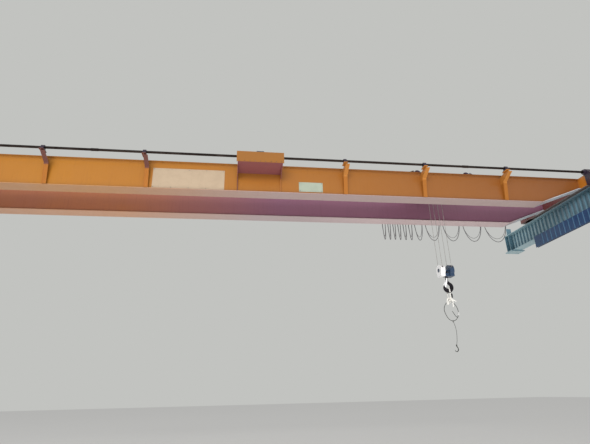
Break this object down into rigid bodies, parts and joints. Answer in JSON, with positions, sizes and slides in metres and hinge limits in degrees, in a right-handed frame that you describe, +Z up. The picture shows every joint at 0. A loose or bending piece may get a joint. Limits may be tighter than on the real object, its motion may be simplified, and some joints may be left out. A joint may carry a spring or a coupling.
{
  "type": "overhead bridge crane",
  "caption": "Double-girder overhead travelling crane with runway beams, line shaft drive, low trolley, rope hoist, hook block and festoon cable.",
  "frame": {"origin": "centre of the left runway's middle bearing plate, on its underside", "axes": "+X along the span to the right runway, +Y along the runway away from the line shaft's side, +Z up"},
  "size_m": [15.52, 10, 4.1202],
  "materials": {
    "teal_paint": "satin",
    "rail_steel": "worn",
    "orange_paint": "satin",
    "duct_paint": "satin",
    "black_rubber": "matt",
    "dark_steel": "worn",
    "dark_paint": "satin",
    "drive_paint": "satin",
    "galvanised": "dull",
    "wire_rope": "dull",
    "guard_paint": "satin",
    "hook_steel": "satin",
    "white_rope": "matt"
  },
  "bodies": {
    "runway": {"left_runway_beam": "teal_paint", "right_runway_beam": "teal_paint", "runway_rails": "rail_steel", "bearing_plates": "teal_paint", "runway_stops": "teal_paint", "conductor_duct": "duct_paint"},
    "bridge": {"front_girder_webs": "orange_paint", "front_girder_top_flange": "orange_paint", "front_girder_bottom_flange": "orange_paint", "rear_girder_webs": "orange_paint", "rear_girder_top_flange": "orange_paint", "rear_girder_bottom_flange": "orange_paint", "trolley_rails": "rail_steel", "trolley_stops": "dark_steel", "left_end_truck": "orange_paint", "right_end_truck": "orange_paint", "truck_buffers": "black_rubber", "shaft_brackets": "orange_paint", "shaft_bearings": "dark_paint", "gear_cases": "dark_paint", "drive_platform": "orange_paint", "platform_front_panel": "orange_paint", "travel_gearbox": "drive_paint", "travel_motor": "drive_paint", "festoon_track": "orange_paint", "festoon_carriers": "galvanised", "festoon_cable": "black_rubber"},
    "front_wheels": {"front_travel_wheels": "dark_steel"},
    "rear_wheels": {"rear_travel_wheels": "dark_steel"},
    "shaft": {"line_shaft": "dark_steel"},
    "trolley": {"trolley_frame": "dark_paint", "trolley_buffers": "black_rubber", "trolley_motor": "drive_paint", "drum_bearings": "dark_paint", "hoist_gearbox": "drive_paint", "hoist_motor": "drive_paint", "tow_arm": "orange_paint", "rope_falls": "wire_rope"},
    "driven_wheels": {"driven_trolley_wheels": "dark_steel"},
    "idle_wheels": {"idle_trolley_wheels": "dark_steel"},
    "drum": {"rope_drum": "dark_steel"},
    "sheave": {"upper_sheave": "dark_steel"},
    "hook_block": {"hook_block_guards": "guard_paint", "hook_block_crosshead": "dark_steel", "block_sheaves": "dark_steel"},
    "hook": {"hook": "hook_steel", "hook_latch": "galvanised", "rope_sling": "white_rope", "wire_rope_loop": "wire_rope", "sling_hook": "galvanised"}
  },
  "joints": [
    {"name": "long_travel", "type": "slide", "parent": "runway", "child": "bridge", "axis": [0, 1, 0], "range_m": [-6.07, 0.67]},
    {"name": "front_wheels_roll", "type": "hinge", "parent": "bridge", "child": "front_wheels", "pos_m": [7.5, 1.5, 0.6653], "axis": [1, 0, 0], "continuous": true},
    {"name": "rear_wheels_roll", "type": "hinge", "parent": "bridge", "child": "rear_wheels", "pos_m": [7.5, 3.9, 0.6653], "axis": [1, 0, 0], "continuous": true},
    {"name": "shaft_turn", "type": "hinge", "parent": "bridge", "child": "shaft", "pos_m": [7.5, 1.665, 0.888], "axis": [1, 0, 0], "continuous": true},
    {"name": "cross_travel", "type": "slide", "parent": "bridge", "child": "trolley", "axis": [1, 0, 0], "range_m": [-10.4, 2.31]},
    {"name": "driven_wheels_roll", "type": "hinge", "parent": "trolley", "child": "driven_wheels", "pos_m": [11.09, 2.7, 0.9403], "axis": [0, 1, 0], "continuous": true},
    {"name": "idle_wheels_roll", "type": "hinge", "parent": "trolley", "child": "idle_wheels", "pos_m": [12.26, 2.7, 0.9403], "axis": [0, 1, 0], "continuous": true},
    {"name": "drum_turn", "type": "hinge", "parent": "trolley", "child": "drum", "pos_m": [11.675, 2.5, 1.015], "axis": [1, 0, 0], "continuous": true},
    {"name": "sheave_turn", "type": "hinge", "parent": "trolley", "child": "sheave", "pos_m": [11.675, 2.8, 0.96], "axis": [0, 1, 0], "continuous": true},
    {"name": "hoist", "type": "slide", "parent": "trolley", "child": "hook_block", "axis": [0, 0, 1], "range_m": [-2.2, 1.4], "deforming": ["rope_falls"]},
    {"name": "hook_swivel", "type": "hinge", "parent": "hook_block", "child": "hook", "pos_m": [11.675, 2.7, -1.313], "axis": [0, 0, 1], "continuous": true}
  ],
  "couplings": [
    {"joint": "front_wheels_roll", "follows": "long_travel", "rad_per_m": -10},
    {"joint": "rear_wheels_roll", "follows": "long_travel", "rad_per_m": -10},
    {"joint": "shaft_turn", "follows": "long_travel", "rad_per_m": 25},
    {"joint": "driven_wheels_roll", "follows": "cross_travel", "rad_per_m": 14.286},
    {"joint": "idle_wheels_roll", "follows": "cross_travel", "rad_per_m": 14.286},
    {"joint": "drum_turn", "follows": "hoist", "rad_per_m": 40},
    {"joint": "sheave_turn", "follows": "hoist", "rad_per_m": 20}
  ]
}
